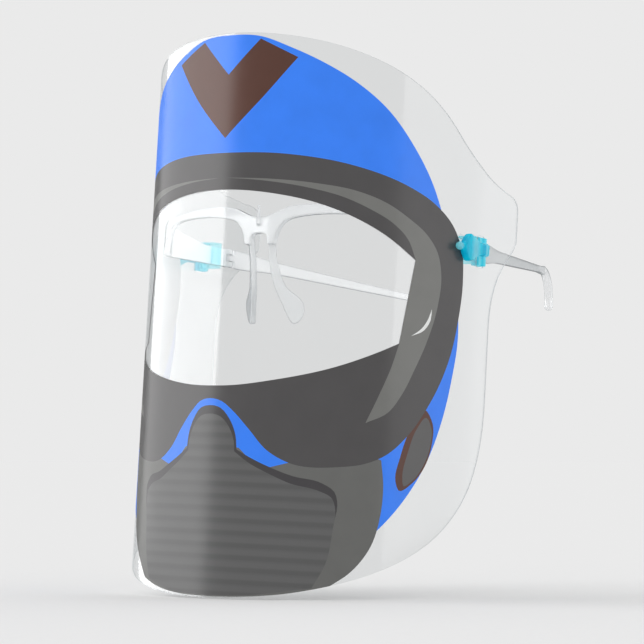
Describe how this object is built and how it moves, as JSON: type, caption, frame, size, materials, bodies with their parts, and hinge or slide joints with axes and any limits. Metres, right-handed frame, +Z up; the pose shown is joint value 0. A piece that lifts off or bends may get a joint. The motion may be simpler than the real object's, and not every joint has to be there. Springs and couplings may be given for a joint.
{
  "type": "face shield",
  "caption": "Bent clear visor sheet with a printed helmet picture, hung by two rubber retainers on a clear spectacle frame with folding temples and nose legs.",
  "frame": {"origin": "midway between the two nose pads, where the frame sits on the nose", "axes": "+X to the wearer's left, -Y forward through the visor, +Z up"},
  "size_m": [0.157, 0.207, 0.228],
  "materials": {
    "visor_plastic": "clear, gloss",
    "frame_plastic": "clear, gloss",
    "temple_plastic": "clear, gloss",
    "pin_plastic": "clear, gloss",
    "retainer_rubber": "translucent teal, satin"
  },
  "bodies": {
    "front": {"frame_front": "frame_plastic", "visor_sheet": "visor_plastic", "retainer_left": "retainer_rubber", "retainer_right": "retainer_rubber", "hinge_pin_left": "pin_plastic", "hinge_pin_right": "pin_plastic"},
    "temple_l": {"temple_left": "temple_plastic"},
    "temple_r": {"temple_right": "temple_plastic"}
  },
  "joints": [
    {"name": "temple_left_hinge", "type": "hinge", "parent": "front", "child": "temple_l", "pos_m": [0.06683, 0.052, 0.0256], "axis": [0, 0, 1], "range_deg": [-9, 72]},
    {"name": "temple_right_hinge", "type": "hinge", "parent": "front", "child": "temple_r", "pos_m": [-0.06683, 0.052, 0.0256], "axis": [0, 0, -1], "range_deg": [-9, 56]}
  ]
}
